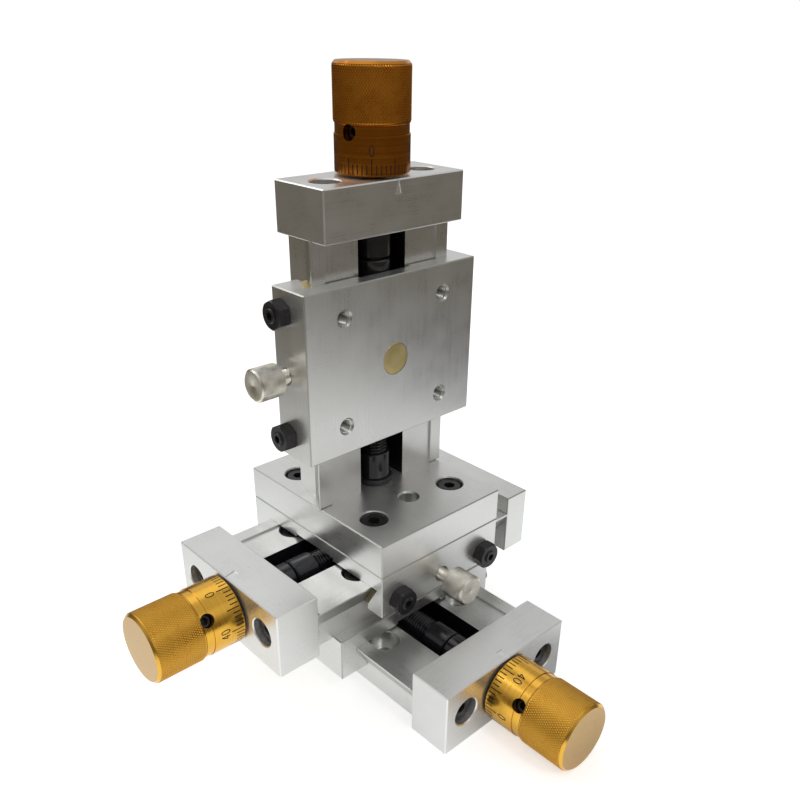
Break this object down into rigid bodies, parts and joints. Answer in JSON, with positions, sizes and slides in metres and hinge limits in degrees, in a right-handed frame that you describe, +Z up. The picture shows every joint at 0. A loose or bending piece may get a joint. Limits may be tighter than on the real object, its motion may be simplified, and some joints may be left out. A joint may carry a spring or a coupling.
{
  "type": "dovetail linear stage",
  "caption": "Three dovetail slide units stacked as X, Y and Z, each with a U-shaped carriage, brass gib, lock screw and lead screw turned by a graduated gold knob.",
  "frame": {"origin": "middle of the X rail's underside, at the middle of its four fixing holes", "axes": "+X along the X travel towards the X knob, -Y towards the Y knob, +Z up along the Z travel"},
  "size_m": [0.1231, 0.1231, 0.1621],
  "materials": {
    "silver_anodised": "satin clear anodised",
    "gold_anodised": "satin gold anodised",
    "black_steel": "black oxide",
    "nickel_plated": "nickel plated",
    "brass": "turned and milled",
    "bronze": "sintered",
    "black_polymer": "turned"
  },
  "bodies": {
    "base": {"x_rail": "silver_anodised", "x_end_block": "silver_anodised", "x_end_screws": "black_steel", "x_far_block": "silver_anodised", "x_far_screws": "black_steel", "x_bearing": "bronze", "x_far_bush": "black_polymer"},
    "x_drive": {"x_lead_screw": "black_steel", "x_collars": "black_steel", "x_knob": "gold_anodised", "x_knob_screw": "black_steel"},
    "x_slide": {"x_carriage": "silver_anodised", "x_nut": "brass", "x_gib": "brass", "x_gib_screws": "black_steel", "x_gib_nuts": "black_steel", "y_rail": "silver_anodised", "y_rail_screws": "black_steel", "y_end_block": "silver_anodised", "y_end_screws": "black_steel", "y_far_block": "silver_anodised", "y_far_screws": "black_steel", "y_bearing": "bronze", "y_far_bush": "black_polymer"},
    "x_lock": {"x_lock_screw": "nickel_plated"},
    "y_drive": {"y_lead_screw": "black_steel", "y_collars": "black_steel", "y_knob": "gold_anodised", "y_knob_screw": "black_steel"},
    "y_slide": {"y_carriage": "silver_anodised", "y_nut": "brass", "y_gib": "brass", "y_gib_screws": "black_steel", "y_gib_nuts": "black_steel", "plate": "silver_anodised", "plate_screws": "black_steel", "z_rail": "silver_anodised", "z_foot_screws": "black_steel", "z_end_block": "silver_anodised", "z_end_screws": "black_steel", "z_bearing": "bronze", "z_far_bush": "black_polymer"},
    "y_lock": {"y_lock_screw": "nickel_plated"},
    "z_drive": {"z_lead_screw": "black_steel", "z_collars": "black_steel", "z_knob": "gold_anodised", "z_knob_screw": "black_steel"},
    "z_slide": {"z_carriage": "silver_anodised", "z_nut": "brass", "z_gib": "brass", "z_gib_screws": "black_steel", "z_gib_nuts": "black_steel"},
    "z_lock": {"z_lock_screw": "nickel_plated"}
  },
  "joints": [
    {"name": "x_travel", "type": "slide", "parent": "base", "child": "x_slide", "axis": [1, 0, 0], "range_m": [-0.0046, 0.0204]},
    {"name": "x_knob_turn", "type": "hinge", "parent": "base", "child": "x_drive", "pos_m": [0.056, 0, 0.00975], "axis": [1, 0, 0], "range_deg": [-7346, 1658]},
    {"name": "x_lock_turn", "type": "hinge", "parent": "x_slide", "child": "x_lock", "pos_m": [-0.0079, 0.0378, 0.0098], "axis": [0, 1, 0], "range_deg": [0, 360]},
    {"name": "y_travel", "type": "slide", "parent": "x_slide", "child": "y_slide", "axis": [0, -1, 0], "range_m": [-0.0088, 0.0162]},
    {"name": "y_knob_turn", "type": "hinge", "parent": "x_slide", "child": "y_drive", "pos_m": [-0.0079, -0.0552, 0.02875], "axis": [0, -1, 0], "range_deg": [-5834, 3170]},
    {"name": "y_lock_turn", "type": "hinge", "parent": "y_slide", "child": "y_lock", "pos_m": [0.0273, 0.0045, 0.0288], "axis": [1, 0, 0], "range_deg": [0, 360]},
    {"name": "z_travel", "type": "slide", "parent": "y_slide", "child": "z_slide", "axis": [0, 0, 1], "range_m": [-0.0159, 0.0091]},
    {"name": "z_knob_turn", "type": "hinge", "parent": "y_slide", "child": "z_drive", "pos_m": [-0.00995, 0.005, 0.1415], "axis": [0, 0, 1], "range_deg": [-3278, 5726]},
    {"name": "z_lock_turn", "type": "hinge", "parent": "z_slide", "child": "z_lock", "pos_m": [-0.0099, -0.032, 0.0889], "axis": [0, -1, 0], "range_deg": [0, 360]}
  ],
  "couplings": [
    {"joint": "x_knob_turn", "follows": "x_travel", "rad_per_m": -6283.2},
    {"joint": "y_knob_turn", "follows": "y_travel", "rad_per_m": -6283.2},
    {"joint": "z_knob_turn", "follows": "z_travel", "rad_per_m": -6283.2}
  ]
}
